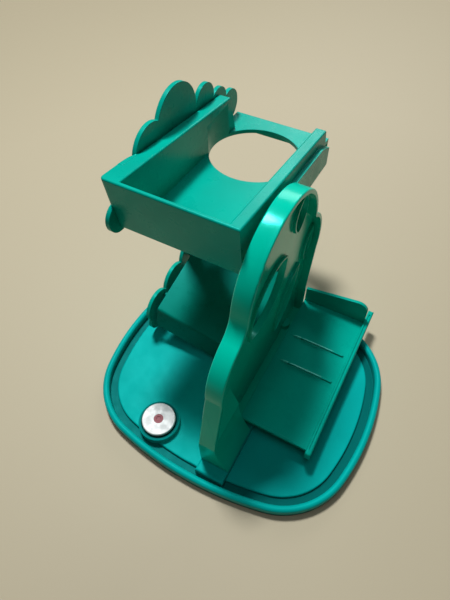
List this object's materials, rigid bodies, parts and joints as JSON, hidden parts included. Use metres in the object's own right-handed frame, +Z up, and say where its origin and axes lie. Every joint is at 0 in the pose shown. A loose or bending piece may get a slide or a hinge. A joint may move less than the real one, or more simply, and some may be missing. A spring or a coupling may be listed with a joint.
{
  "type": "tree play tower",
  "caption": "Green moulded play tower: rimmed base, tree-shaped panels, tilted top tray with a round hole, sloping deck, side tray and a sprung metal disc.",
  "frame": {"origin": "centre of the base tray, on the surface that it stands on", "axes": "+Z up, +X towards the low side tray, +Y towards the back"},
  "size_m": [0.21, 0.2414, 0.1922],
  "materials": {
    "green_plastic": "semi-gloss",
    "disc_metal": "satin",
    "red_plastic": "gloss",
    "steel": "satin"
  },
  "bodies": {
    "tower": {"base_tray": "green_plastic", "right_tree_panel": "green_plastic", "left_tree_panel": "green_plastic", "top_tray": "green_plastic", "middle_ramp": "green_plastic", "side_tray": "green_plastic", "disc_spring": "steel", "base_screws": "steel"},
    "button": {"press_disc": "disc_metal", "disc_cap": "red_plastic", "disc_clip": "steel"}
  },
  "joints": [
    {"name": "disc_press", "type": "slide", "parent": "tower", "child": "button", "axis": [0, 0, -1], "range_m": [0, 0.0015], "stiffness_N_per_m": 200, "springref_m": -0.002, "deforming": ["disc_spring"]}
  ]
}
